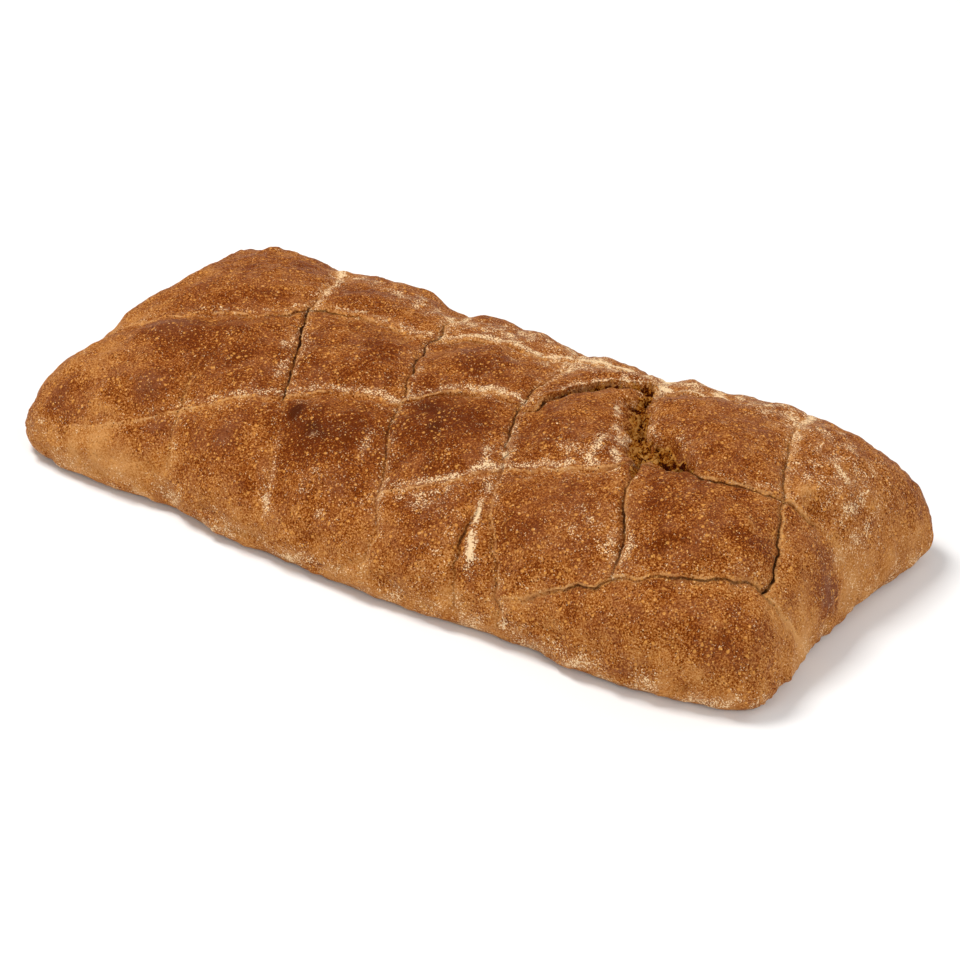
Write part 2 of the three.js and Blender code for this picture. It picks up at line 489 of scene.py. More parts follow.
# Stations: u, v, gap, depth, ear, crack, seam, flour
SCORES: tuple[Cut, ...] = (
    Cut(Slant.RISING, seed=11, stations=(
        (-152, -30, 0, 0.3, 0, 0, 0.5, 0.1), (-123.5, -16.5, 0, 0.6, 0.1, 0, 0.7, 0.2),
        (-112.5, -7.5, 0, 0.9, 0.2, 0.1, 0.8, 0.3), (-93.5, 0, 0, 1.1, 0.3, 0.3, 0.6, 0.3),
        (-78, 14.5, 0, 1.2, 0.3, 0.6, 0.5, 0.3), (-57, 20, 0, 1.1, 0.3, 0.2, 0.7, 0.4),
        (-34.5, 21.5, 0, 1, 0.3, 0.1, 0.6, 0.5), (-20.5, 33.5, 0, 1.4, 0.5, 0.3, 0.6, 0.6),
        (2, 36, 0, 1.2, 0.4, 0.1, 0.6, 0.8), (32, 46, 0, 1.1, 0.3, 0.1, 0.6, 0.8),
        (66, 60, 0, 0.8, 0.2, 0, 0.4, 0.5),
    )),
    Cut(Slant.RISING, seed=12, front_slope=1.2, back_slope=0.6, stations=(
        (-132, -79, 0, 0.2, 0, 0, 0.4, 0), (-105.5, -69, 0, 0.6, 0.1, 0, 0.7, 0.1),
        (-85, -56, 0, 0.9, 0.2, 0, 0.9, 0.3), (-61.5, -39.5, 0, 1, 0.3, 0, 0.9, 0.5),
        (-43.5, -26.5, 0, 1.2, 0.4, 0.1, 0.8, 0.5), (-25, -20, 0, 1.1, 0.3, 0, 0.8, 0.6),
        (-14, -18.5, 0, 1.1, 0.4, 0.1, 0.8, 0.6), (-2, -4.5, 0, 1.2, 0.5, 0.3, 0.8, 0.4),
        (14.5, 1, 0, 1.2, 0.5, 0.1, 0.7, 0.6), (30, 0, 0, 1.6, 0.6, 0.3, 0.6, 0.5),
        (32, 8, 1.2, 2.6, 0.9, 1, 0.6, 0.4), (36.5, 17, 2.2, 3.2, 1.6, 1, 0.8, 0.5),
        (41.5, 25, 2.2, 3.2, 1.9, 0.7, 1, 0.8), (46, 30, 2.6, 3.6, 2.1, 1, 1, 1),
        (52, 33, 3.2, 4, 2.1, 1, 1, 1), (60, 34, 3.6, 4.4, 1.5, 0.9, 0.9, 0.8),
        (69, 35, 0.4, 1.6, 0.6, 0.3, 0.5, 0.6), (84, 42, 0, 0.8, 0.3, 0, 0.5, 0.6),
    )),
    Cut(Slant.RISING, seed=13, stations=(
        (-6, -71, 0, 0.2, 0, 0, 0.4, 0.1), (9.5, -56, 0, 0.6, 0.2, 0, 0.7, 0.3),
        (25, -48.5, 0, 0.8, 0.3, 0, 0.8, 0.6), (42, -36.5, 0, 0.9, 0.4, 0, 0.8, 0.5),
        (59, -31, 0, 1, 0.4, 0, 0.9, 0.4), (77, -24.5, 0, 1.1, 0.4, 0.1, 0.9, 0.3),
        (84, -17.5, 0.2, 1.6, 0.3, 0.4, 0.7, 0.2), (93, -13.5, 0.2, 1.6, 0.3, 0.4, 0.7, 0.1),
        (102, -11, 0.4, 2.2, 0.4, 0.7, 0.7, 0.1), (113.5, -12.5, 0.2, 1.9, 0.2, 0.8, 0.7, 0.2),
        (125.5, -10, 0.1, 1.6, 0.2, 0.6, 0.7, 0.2), (135.5, -7, 0.4, 1.6, 0.4, 0.6, 0.7, 0.4),
        (149, -3, 0, 1.1, 0.6, 0.2, 0.8, 0.1), (158, 0, 0, 0.9, 0.3, 0, 0.3, 0),
        (167, 4, 0, 0.5, 0.1, 0, 0.15, 0), (182, 10, 0, 0.2, 0, 0, 0, 0),
    )),
    Cut(Slant.RISING, seed=14, wander=0.4, stations=(
        (58, -84, 0, 0.3, 0.1, 0, 0.4, 0.1), (70.5, -79.5, 0, 0.7, 0.3, 0.1, 0.7, 0.1),
        (83, -72.5, 0, 0.6, 0.8, 0.2, 1, 0.1), (89, -69.5, 0, 0.7, 1, 0.5, 1, 0.1),
        (96.5, -67.5, 0, 0.8, 1, 0.6, 1, 0.1), (102, -63, 0, 0.8, 0.9, 0.3, 1, 0.1),
        (111.5, -60, 0, 0.7, 0.5, 0.3, 0.9, 0.1), (128, -55, 0, 0.8, 0.2, 0.7, 0.5, 0.1),
        (141.5, -49, 0, 0.8, 0.1, 0.6, 0.5, 0.2), (152.5, -43, 0.2, 1.2, 0, 0.4, 0.8, 0.2),
        (167.5, -40, 0, 0.8, 0, 0, 0.9, 0.1), (182, -30, 0, 0.3, 0, 0, 0.5, 0.1),
    )),
    Cut(Slant.FALLING, seed=15, stations=(
        (-98, -30, 0, 0.3, 0, 0, 0.1, 0.1), (-94, -45, 0, 1.3, 0, 0.3, 0.3, 0.1),
        (-89, -60, 0, 1.4, 0, 0.2, 0.4, 0.2), (-84, -80, 0, 0.6, 0, 0.1, 0.2, 0.2),
    )),
    Cut(Slant.FALLING, seed=16, stations=(
        (-112, 76, 0, 0.3, 0, 0, 0.3, 0.2), (-101, 52, 0, 0.5, 0, 0, 0.4, 0.4),
        (-90, 34, 0, 0.9, 0.2, 0, 0.6, 0.7), (-85, 18.5, 0, 1.2, 0.3, 0.3, 0.7, 0.6),
        (-80.5, 8, 0.1, 1.7, 0.3, 1, 0.5, 0.3), (-67.5, -12, 0.2, 1.9, 0.3, 1, 0.4, 0.4),
        (-55.5, -33, 0, 1.5, 0.3, 0.7, 0.5, 0.2), (-53, -37.5, 0, 1.1, 0.2, 0, 0.3, 0.1),
        (-46.5, -51, 0, 1, 0.1, 0, 0.1, 0.2), (-41, -64.5, 0, 1.2, 0, 0.1, 0.1, 0.35),
        (-37, -80, 0, 0.6, 0, 0.1, 0, 0.4),
    )),
    Cut(Slant.FALLING, seed=17, stations=(
        (-49, 78, 0, 0.4, 0, 0.1, 0.3, 0.2), (-40, 52, 0, 0.6, 0.1, 0.1, 0.5, 0.5),
        (-33.5, 32, 0, 1.3, 0.3, 0.5, 0.6, 0.4), (-28.5, 12.5, 0, 1.6, 0.4, 0.8, 0.4, 0.3),
        (-21.5, -2, 0, 1.5, 0.3, 0.7, 0.4, 0.4), (-14.5, -17, 0, 1.3, 0.2, 0.3, 0.6, 0.3),
        (-8.5, -30.5, 0, 1.2, 0.2, 0.5, 0.4, 0.2), (0.5, -48, 0, 1.2, 0.2, 0.4, 0.6, 0.4),
        (4.5, -59.5, 0, 1.5, 0.1, 0.2, 0.5, 0.5), (10, -71, 0, 1.6, 0, 0.2, 0.4, 0.2),
        (8, -88, 0, 0.8, 0, 0.1, 0.2, 0.2),
    )),
    Cut(Slant.FALLING, seed=18, stations=(
        (4, 80, 0, 0.4, 0, 0.1, 0.3, 0.2), (12, 58, 0, 0.6, 0.1, 0, 0.4, 0.5),
        (21, 34, 0, 1.1, 0.2, 0.1, 0.6, 0.5), (24.5, 10.5, 0, 1.4, 0.3, 0.5, 0.4, 0.3),
        (28.5, -6, 0, 1.5, 0.4, 0.7, 0.5, 0.3), (36.5, -22.5, 0, 1.3, 0.3, 0.5, 0.5, 0.3),
        (42, -35, 0, 1, 0.2, 0.3, 0.4, 0.2), (42, -48, 0, 0.7, 0, 0, 0.1, 0.1),
        (43, -58, 0, 1.1, 0, 0.5, 0, 0.1), (42, -66, 0, 1.6, 0, 0.7, 0, 0.1),
        (43, -76, 0, 1.4, 0, 0.3, 0.1, 0.1), (46, -88, 0, 0.8, 0, 0.2, 0.2, 0.2),
    )),
    Cut(Slant.FALLING, seed=19, stations=(
        (42, -40, 0, 0.5, 0, 0.1, 0.4, 0.2), (45, -48, 0, 0.9, 0, 0.1, 0.5, 0.2),
        (53, -63, 0, 1.2, 0, 0.2, 0.5, 0.1), (59, -76, 0, 1.3, 0, 0.3, 0.5, 0.2),
        (64, -90, 0, 0.8, 0, 0.2, 0.4, 0.3),
    )),
    Cut(Slant.FALLING, seed=20, front_slope=1.6, back_slope=0.8, stations=(
        (45, 82, 0, 0.4, 0, 0.1, 0.3, 0.2), (51, 62, 0, 0.6, 0.1, 0, 0.4, 0.5),
        (56, 45, 0, 1.2, 0.2, 0.2, 0.7, 0.5), (59, 32, 1.6, 3, 0.4, 0.2, 0.5, 0.2),
        (62.5, 23, 4.6, 4.8, 0.3, 0.2, 0.4, 0.3), (68.5, 13, 5.8, 5.4, 0.2, 0.2, 0.4, 0.3),
        (75.5, 2, 6.4, 5.8, 0.2, 0.2, 0.4, 0.3), (81, -7, 7, 5.8, 0.2, 0.2, 0.4, 0.2),
        (85, -13, 4, 4, 0.2, 0.3, 0.5, 0.1), (90, -29.5, 0.1, 1.4, 0.2, 0.5, 0.6, 0.2),
        (94, -39.5, 0.2, 1.9, 0.2, 0.9, 0.4, 0.2), (100, -50, 0.3, 2, 0.2, 0.9, 0.3, 0.2),
        (101, -57, 0.1, 1.4, 0.1, 0.6, 0.4, 0.1), (102, -63, 0, 0.8, 0.1, 0.2, 0.4, 0.1),
    )),
    Cut(Slant.RISING, seed=22, front_slope=0.8, back_slope=1.8, stations=(
        (80, -9, 6, 4.6, 0, 0.2, 0.3, 0.1), (86, -7, 8.6, 5.5, 0, 0.3, 0.3, 0.1),
        (93, -7.5, 7.2, 5.2, 0, 0.3, 0.3, 0.1), (100, -9.5, 3.6, 3.8, 0, 0.5, 0.3, 0.1),
        (106, -11, 1.2, 2.4, 0, 0.5, 0.3, 0.1), (112, -12.5, 0.3, 1.8, 0, 0.5, 0.3, 0.1),
    )),
    Cut(Slant.FALLING, seed=21, stations=(
        (105, 76, 0, 0.4, 0, 0.1, 0.3, 0.2), (112, 52, 0, 0.6, 0.1, 0, 0.4, 0.5),
        (122, 27.5, 0, 1.2, 0.2, 0.3, 0.5, 0.4), (130.5, 13, 0, 1.3, 0.2, 0.5, 0.5, 0.3),
        (138.5, -2, 0, 1.4, 0.3, 0.5, 0.7, 0.2), (145.5, -15, 0.1, 1.4, 0.4, 0.5, 0.8, 0.1),
        (152, -25.5, 0.2, 1.8, 0.4, 0.9, 0.6, 0.1), (155.5, -38, 0.2, 1.8, 0.3, 1, 0.5, 0.1),
        (154.5, -41.5, 1.4, 2.6, 0, 1, 0.3, 0.1),
    )),
)


@dataclass(frozen=True)
class CutSheet:
    """All the cuts read together at every plan point.

    Fields: distance to the nearest cut of all; the relief they carve; how far each point leans
    over a cut, in the plan; how open the crust is, and how much painted shade lies on it; the
    flour they hold; and for each family the signed distance to its nearest cut with the strength
    of the crack and of the seam along it.
    """

    nearest: Array
    relief: Array
    lean: Array
    open: Array
    shade: Array
    flour: Array
    family: dict[Slant, tuple[Array, Array, Array]]


# The shape of a cut and its lip, in millimetres; the shares are parts of the cut's depth
GROOVE_SHARE, GROOVE_WIDTH = 0.66, 0.9
VALLEY_SHARE, VALLEY_WIDTH = 0.34, 4.0
LIP_CREST, LIP_BACK = 1.2, 7.0
LEAN_PER_EAR = 0.8


def read_cuts(cuts: tuple[Cut, ...], u: Array, v: Array) -> CutSheet:
    """Read every cut at every plan point and join the readings.

    A cut carves a wide shallow valley and a narrow groove, whose floor is as wide as its gap,
    and lifts one lip, which leans over the gap. Where cuts meet, the deepest carving holds and
    the lips add up. The crust is torn open across the gap and part of the way up its walls, or
    up the face of a lifted lip, and the shade that is painted on the torn crumb lies deepest at
    the foot of the back wall, or under the crest of that lip. Flour lies in a strip on either side.

    Args:
        cuts: the cuts.
        u: plan coordinates along the loaf, one dimension.
        v: plan coordinates across it.

    Returns:
        The joined readings.
    """
    nearest = np.full(u.shape, CUT_REACH)
    groove, ears = np.zeros((2,) + u.shape)
    lean = np.zeros(u.shape + (2,))
    gape, shade, flour = np.zeros((3,) + u.shape)
    family = {
        slant: (np.full(u.shape, CUT_REACH), np.zeros_like(u), np.zeros_like(u))
        for slant in Slant
    }
    for cut in cuts:
        now = cut.read(u, v)
        away = np.abs(now.distance)
        nearest = np.minimum(nearest, away)
        wall = np.maximum(away - now.gap / 2.0, 0.0)
        slope = np.where(now.distance > 0, cut.back_slope, cut.front_slope)
        deep = GROOVE_SHARE * bell(wall / slope, GROOVE_WIDTH)
        deep += VALLEY_SHARE * bell(wall, VALLEY_WIDTH)
        groove = np.maximum(groove, now.depth * deep)
        facing = np.where(now.ear >= 0, 1.0, -1.0)
        beyond = facing * now.distance - now.gap / 2.0
        lip = bell(beyond - LIP_CREST, LIP_CREST) + 0.25 * bell(beyond, LIP_BACK)
        lip *= ease(0.0, 1.0, beyond)
        ears += np.abs(now.ear) * lip
        crest = ease(0.1, LIP_CREST, beyond) * bell(np.maximum(beyond - LIP_CREST, 0.0), 2.5)
        lean -= (facing * np.abs(now.ear) * LEAN_PER_EAR * crest)[:, None] * now.across
        lifted = ease(0.9, 1.4, now.ear)
        reach = 0.9 * slope + 0.9 * lifted * (beyond > 0)
        torn = ease(0.6, 2.4, now.gap) * (1.0 - ease(-0.2, reach, wall))
        gape = np.maximum(gape, torn)
        # painted shade: laid at the foot of the back wall of an opening, or just under the crest of a
        # lifted lip
        shade_place = bell(now.distance - 0.28 * now.gap, 1.0) * (1.0 - lifted)
        shade_place += bell(beyond - 0.45, 0.75) * lifted
        shade = np.maximum(shade, torn * now.crack * shade_place)
        front_side = -now.distance - now.gap / 2.0
        back_side = now.distance - now.gap / 2.0
        offset = 3.2 if cut.slant is Slant.RISING else 2.0
        beside = bell(back_side - offset, 1.6) + 0.4 * bell(front_side - 2.0, 1.3)
        beside += 0.08 * bell(away, 5.0)
        flour = np.maximum(flour, now.flour * beside)
        distance, crack, seam = family[cut.slant]
        won = away < np.abs(distance)
        distance[won] = now.distance[won]
        hold = 1.0 - ease(2.5, 4.5, away)
        crack[won] = (now.crack * hold)[won]
        seam[won] = (now.seam * hold)[won]
    return CutSheet(nearest, ears - groove, lean, gape, shade, flour, family)


# ---- The crust ----

# Broad lumps and hollows of the dough (amounts in millimetres)
LUMPS = ovals(
    (-117, -25, 12, 9, 20, 0.9), (-104, -53, 12, 9, 10, 0.7), (-70, -60, 14, 12, 0, 0.8),
    (-20, -52, 14, 12, 0, 0.7), (22, -68, 12, 10, 0, 0.7), (48, -69, 6.5, 2.6, -69, 0.8),
    (120, -72, 26, 9, 6, 1.6), (127, -36, 16, 12, 0, 0.8), (171, -13, 7, 6, 0, 0.6),
    (16, -13, 3, 2, 0, 0.5), (143, 2, 2.6, 2.8, 0, 2.4), (93, -74, 1.6, 1.6, 0, 0.9),
    (137, -27, 3, 2.2, 0, 2), (-117, -22, 7, 5, 20, 1), (-104, -52, 6, 6, 0, 1), (8, 52, 14, 7, 20, 1),
    (-66, 57, 10, 7, 0, 1.5), (-34, 59, 10, 7, 0, 2.6), (-12, 58, 7, 6, 0, 1.6), (62, 54, 7, 6, 0, 2.6),
    (42, 56, 8, 7, 0, -1.6), (110, 54, 10, 7, 0, 3), (-150, 5, 20, 14, 60, 0.5),
)

# Where the crust browned more (above zero) or less than its surroundings
BROWNING = ovals(
    (-117, -24, 9, 7, 20, 0.8), (-104, -53, 5.5, 6.5, 0, 0.9), (-142, -67, 4.5, 6, 0, 0.8),
    (-130, -72, 6, 5, 0, 0.35), (-94, -66, 3.5, 4.5, 0, 0.8), (-112, 0, 16, 7, 30, 0.3),
    (-46, -38, 5, 4.5, 0, 1.1), (-5, -12, 8, 6, 0, 0.45), (-108, -84, 16, 9, 10, -0.35),
    (-36, -46, 14, 9, 0, 0.3), (-22, -42, 12, 9, 0, 0.4), (2, -20, 14, 7, 15, 0.45),
    (15, -24, 16, 10, 20, 0.3), (-70, 34, 20, 9, 10, 0.3), (-115, 34, 18, 8, 10, 0.3),
    (0, 15, 14, 9, 0, 0.35), (-40, 4, 12, 10, 0, 0.2), (106, -36, 10, 8, 0, 0.3),
    (136, -33, 10, 7, 0, 0.3), (120, -46, 14, 6, 0, 0.25), (108, -16, 14, 6, 0, 0.35),
    (171, -13, 6.5, 7, 0, 0.9), (143, 2, 2.6, 2.8, 0, -0.8), (137, -27, 3, 2.2, 0, -0.8),
    # painted light: the paler patches at the left end, from u -165 to -134, are partly less-baked dough
    # and partly the light falling on that end
    (150, -72, 10, 7, 0, 0.25), (60, -60, 10, 10, 0, 0.2), (-165, -40, 16, 40, 0, -0.4),
    (-134, -46, 16, 14, 20, -0.45), (-146, -20, 16, 7, 30, -0.5), (-120, -68, 14, 8, 10, -0.3),
    (-135, 12, 8, 16, 0, -0.25), (-120, -88, 40, 8, 0, -0.2), (-85, -48, 10, 8, 0, -0.15),
    (100, -84, 30, 6, 0, -0.15), (150, -50, 24, 9, 20, -0.2), (172, -30, 14, 12, 0, -0.35),
    (165, 20, 20, 30, 0, -0.25), (60, 5, 20, 16, 0, -0.1), (-92, -28, 18, 12, 0, 0.3),
    (-30, -50, 18, 12, 0, 0.25), (2, -38, 12, 16, 0, 0.25), (26, -50, 12, 8, 30, 0.3),
    (100, -9, 14, 5, 0, 0.3), (95, -88, 24, 5, 0, 0.35), (60, -82, 14, 8, 0, 0.2),
    (92, -76, 8, 4, 0, 0.2), (126, -60, 16, 3, 8, 0.2), (-63, -59, 4.5, 6.5, 0, 0.5),
)

# Where the crust turned dusky, a purplish brown
DUSKY = ovals(
    (-117, -24, 8, 6, 20, 0.8), (-104, -53, 5.5, 6.5, 0, 1), (-94, -66, 3.5, 4.5, 0, 0.9),
    (-63, -59, 4.5, 6.5, 0, 0.9), (-142, -66, 4.5, 6, 0, 0.7), (171, -13, 6, 6.5, 0, 0.9),
    (40, 20, 12, 6, 50, 0.5), (74, -48, 12, 10, 0, 0.45), (-30, 14, 12, 4, 10, 0.6),
    (150, -72, 12, 7, 0, 0.3),
)

# Where flour was dusted or rubbed on, away from the cuts
DUSTING = ovals(
    (-74, -11.1, 5.8, 2.2, -61, 0.66), (-65.7, -24.6, 4.7, 1.8, -59, 0.59),
    (-63.4, -8.1, 6.3, 1.2, -57, 0.46), (-28.6, -46.8, 2.9, 2, -5, 0.53),
    (-10.8, -41.4, 6.2, 2.2, -69, 0.59), (33.6, -30, 8.3, 2.2, -65, 0.59),
    (-38.2, -72.8, 5.6, 1.3, -62, 0.53), (-12.6, -72.7, 2.5, 2.5, -103, 0.46),
    (64.5, 4.5, 15.2, 1.6, -58, 0.73), (77.6, -15.9, 9, 1.8, -56, 0.66),
    (64.6, 33.8, 8.4, 2, -63, 0.53), (96, 1.5, 7, 1.4, -19, 0.46), (69.8, -17.6, 4.5, 1.6, -82, 0.59),
    (41.8, -42.6, 6.8, 1.6, -69, 0.4), (46, -60.8, 4.1, 2, -91, 0.4),
    (12.3, -54.6, 3.3, 1.2, -72, 0.33), (-44, -33, 5, 2, 0, 0.5), (-90, 50, 14, 6, -10, 0.5),
    (-60, 45, 18, 6, -5, 0.4), (-20, 46, 40, 8, 12, 0.55), (30, 38, 30, 7, 20, 0.45),
    (60, 50, 50, 8, 0, 0.5), (110, 42, 40, 10, -5, 0.45), (146, 20, 16, 14, 0, 0.5),
    (165, 8, 10, 18, 0, 0.3), (101, -54, 8, 8, 0, 0.35), (85, -50, 12, 10, 0, 0.3),
    (48, -69, 6.4, 2.3, -69, 1.3), (43.5, -53, 8.5, 1.1, -79, 1), (38, -25, 9, 2, -70, 0.6),
    (24, -54, 9, 5, 30, 0.5), (35, -70, 6, 14, 0, 0.3), (10, 2, 10, 3, 10, 0.3),
    (64, -20, 12, 8, 10, 0.35), (72, -4, 5, 16, -25, 0.4), (-20, -62, 12, 6, 20, 0.3),
    (-150, -80, 20, 6, 0, 0.35), (80, -90, 60, 4, 0, 0.2), (-60, -88, 60, 4, 0, 0.2),
)


@dataclass
class LoafCrust:
    """The whole loaf as one closed skin: crust, torn openings, tucked-under edge and sole.

    Fields: the plain form and the cuts; how many facets run along and across the crust; the
    sizes of the rings that fill the sole, as shares of its edge; how far in from the rim the
    relief of the crown reaches its full height; how high the pillows between cuts stand, how far
    from a cut it takes to get there and how deep their feet are sunk; where
    on the plan the facets are finest, which is at the torn opening, and how far that reaches;
    and how far apart the pores of torn crumb lie, with the part of their places that is filled.
    """

    form: LoafForm = LoafForm()
    cuts: tuple[Cut, ...] = SCORES
    facets_along: int = 404
    facets_across: int = 220
    sole_rings: tuple[float, ...] = (0.975, 0.88, 0.62, 0.3)
    shoulder: float = 30.0
    pillow_height: float = 2.7
    pillow_reach: float = 11.0
    pillow_sink: float = 1.9
    close_up: tuple[float, float] = (75.0, -2.0)
    close_up_reach: float = 40.0
    pore_spacing: float = 4.2
    pore_share: float = 0.6

    def plan(self) -> tuple[Array, Array]:
        """The net of plan points, row by row from the front, as two flat arrays.

        Returns:
            u and v of every point of the net, edge rows and columns included.
        """
        half_u, half_v = self.form.reach()
        lip = self.form.lip_length
        middle_u, middle_v = self.close_up
        u = crowded(half_u + lip, self.facets_along, middle_u, self.close_up_reach, 0.9)
        v = crowded(half_v + lip, self.facets_across, middle_v, self.close_up_reach, 0.5)
        grid_u, grid_v = np.meshgrid(u, v)
        return grid_u.ravel(), grid_v.ravel()

    def inside(self, u: Array, v: Array) -> tuple[Array, Array]:
        """How far each plan point is from the rim, along and across; below zero past it."""
        half_u, half_v = self.form.reach()
        return half_u - np.abs(u), half_v - np.abs(v)

    def pores(self, u: Array, v: Array) -> Array:
        """The pores of torn crumb, as round bumps to be taken away from it."""
        return pimples(u, v, self.pore_spacing, self.pore_share, 12)

    def relief(self, u: Array, v: Array, sheet: CutSheet) -> Array:
        """How far the crust stands off the plain form.

        Pillows between the cuts, the cuts themselves, broad lumps, rolling drift of three
        sizes, blisters of two sizes, folds along the foot and pores on torn crumb. All of it
        dies away at the edge of the sole.

        Args:
            u: plan coordinates along the loaf.
            v: plan coordinates across it.
            sheet: the joined readings of the cuts.

        Returns:
            Heights along the outward direction, in millimetres.
        """
        inside_u, inside_v = self.inside(u, v)
        inward = np.minimum(inside_u, inside_v)
        body = ease(0.0, self.shoulder, inward)
        foot = bell(inward - 1.0, 9.0) * ease(6.0, 34.0, np.hypot(inside_u, inside_v))
        pillow = self.pillow_height * (1.0 - bell(sheet.nearest, self.pillow_reach))
        pillow -= self.pillow_sink
        lumps = layered(LUMPS, u, v)
        roll = 0.5 * drift(u, v, 34.0, 3) + 0.28 * drift(u, v, 13.0, 4)
        fine = 0.12 * drift(u, v, 5.0, 5)
        blisters = 0.34 * pimples(u, v, 4.6, 0.35, 6) + 0.16 * pimples(u, v, 2.6, 0.7, 7)
        folds = 0.4 * drift(u, v, 24.0, 16) + 0.45 * drift(u, v, 11.0, 8, 1.6)
        folds = foot * (folds + 0.22 * drift(u, v, 4.5, 9, 1.3))
        beads = foot * (0.5 * pimples(u, v, 6.5, 0.4, 10) - 0.45)
        pores = 0.8 * drift(u, v, 3.4, 13) - 2.8 * self.pores(u, v)
        pores = sheet.open * (pores + 0.7 * pimples(u, v, 2.9, 0.7, 15))
        calm = 1.0 - 0.8 * sheet.open
        edge = ease(-self.form.lip_length, -self.form.lip_length + 5.0, inward)
        surface = (pillow + lumps + roll * calm) * body + sheet.relief * ease(0.0, 14.0, inward)
        skin_relief = (fine + blisters) * calm * (0.35 + 0.65 * body)
        return (surface + skin_relief + folds + beads + pores) * edge

    def net(self) -> tuple[Array, Array]:
        """Corners of every facet, crust first and sole after it.

        Returns:
            The quadrilaterals, and the triangles that close the sole at its middle.
        """
        index = self.numbers()
        crust = np.stack(
            [index[:-1, :-1], index[:-1, 1:], index[1:, 1:], index[1:, :-1]], axis=-1
        ).reshape(-1, 4)
        edge = self.edge()
        count = len(edge)
        rings = [edge]
        for ring in range(len(self.sole_rings)):
            rings.append(index.size + ring * count + np.arange(count))
        bands = [
            np.stack([outer, inner, np.roll(inner, -1), np.roll(outer, -1)], axis=-1)
            for outer, inner in zip(rings[:-1], rings[1:])
        ]
        middle = np.full(count, index.size + len(self.sole_rings) * count)
        fan = np.stack([middle, np.roll(rings[-1], -1), rings[-1]], axis=-1)
        return np.vstack([crust, *bands]), fan

    def numbers(self) -> Array:
        """Numbers of the net's points, in rows from the front."""
        shape = (self.facets_across + 1, self.facets_along + 1)
        return np.arange(shape[0] * shape[1]).reshape(shape)

    def edge(self) -> Array:
        """Numbers of the net's edge points, once round anticlockwise seen from above."""
        index = self.numbers()
        return np.concatenate([index[0, :-1], index[:-1, -1], index[-1, :0:-1], index[:0:-1, 0]])

    def sole(self, points: Array) -> Array:
        """Points of the sole inside the crust's edge.

        Each ring is the edge drawn in towards the middle; the last point is the middle itself.

        Args:
            points: the crust's points.

        Returns:
            The rings' points and the middle, all in the plane of the sole.
        """
        edge = points[self.edge()]
        middle = np.array([edge[:, 0].mean(), edge[:, 1].mean(), 0.0])
        rings = [middle + (edge - middle) * share for share in self.sole_rings]
        return np.vstack([*rings, middle[None]])

    def build(self) -> bpy.types.Object:
        """Make the loaf's mesh with its surface readings stored on its points.

        Returns:
            The loaf, standing on its sole with the middle of its outline at the origin.
        """
        u, v = self.plan()
        sheet = read_cuts(self.cuts, u, v)
        plain = self.form.point(u + sheet.lean[:, 0], v + sheet.lean[:, 1])
        low, high = plain.min(axis=0), plain.max(axis=0)
        shift = np.array([(low[0] + high[0]) / 2.0, (low[1] + high[1]) / 2.0, 0.0])
        crust = plain + self.form.outward(u, v) * self.relief(u, v, sheet)[:, None]
        crust[self.edge(), 2] = 0.0
        crust[:, 2] = np.maximum(crust[:, 2], 0.0)
        points = np.vstack([crust, self.sole(crust)]) - shift
        quads, fan = self.net()
        mesh = skin("loaf", points * MM, quads, fan)
        under = len(points) - len(crust)
        for name, values in self.readings(u, v, sheet).items():
            store(mesh, name, np.append(values, np.full(under, 1.0 if name == "sole" else 0.0)))
        return placed("loaf", mesh)

    def readings(self, u: Array, v: Array, sheet: CutSheet) -> dict[str, Array]:
        """What the finish needs to know at every point of the crust.

        Args:
            u: plan coordinates along the loaf.
            v: plan coordinates across it.
            sheet: the joined readings of the cuts.

        Returns:
            How far the crust is baked; the flour on it; how open it is, and how light the
            crumb is there, darkened by painted shade in its pores and in the slot of an opening; how
            dusky it is; where it turns under to the sole; and for each family of cuts its distance,
            crack and seam.
        """
        inward = np.minimum(*self.inside(u, v))
        crowned = 1.0 - bell(sheet.nearest, 6.0)
        bake = 0.47 + 0.13 * crowned + 0.045 * drift(u, v, 26.0, 31) + 0.06 * drift(u, v, 11.0, 32)
        bake += 0.24 * bell(v + 22.0, 42.0) * bell(u + 15.0, 130.0)
        bake += 0.7 * layered(BROWNING, u, v) - 0.28 * (1.0 - ease(0.0, 22.0, inward))
        flour = sheet.flour + layered(DUSTING, u, v) * (0.8 + 0.35 * drift(u, v, 7.0, 33))
        flour += 0.08 + bell(inward + 5.0, 8.0) * (0.3 + 0.2 * drift(u, v, 12.0, 34, 1.6))
        result = {
            "bake": np.clip(bake, 0.0, 1.6),
            "flour": np.clip(flour, 0.0, 1.5) * (1.0 - sheet.open),
            "crumb": sheet.open,
            # painted shade on the crumb: darker in the pores, in scattered pore spots and in the slot
            # of an opening
            "painted_crumb_shade": 0.62
            - 0.42 * self.pores(u, v)
            - 0.3 * pimples(u, v, 2.4, 0.6, 14)
            - 0.62 * sheet.shade * (1.0 + 0.4 * drift(u, v, 8.0, 35)),
            "dusk": layered(DUSKY, u, v),
            "sole": ease(4.0, 11.0, -inward),
        }
        for slant, (distance, crack, seam) in sheet.family.items():
            for what, values in (("distance", distance), ("crack", crack), ("seam", seam)):
                result[f"{slant.value}_{what}"] = values
        return result


# ---- Putting surfaces into meshes ----


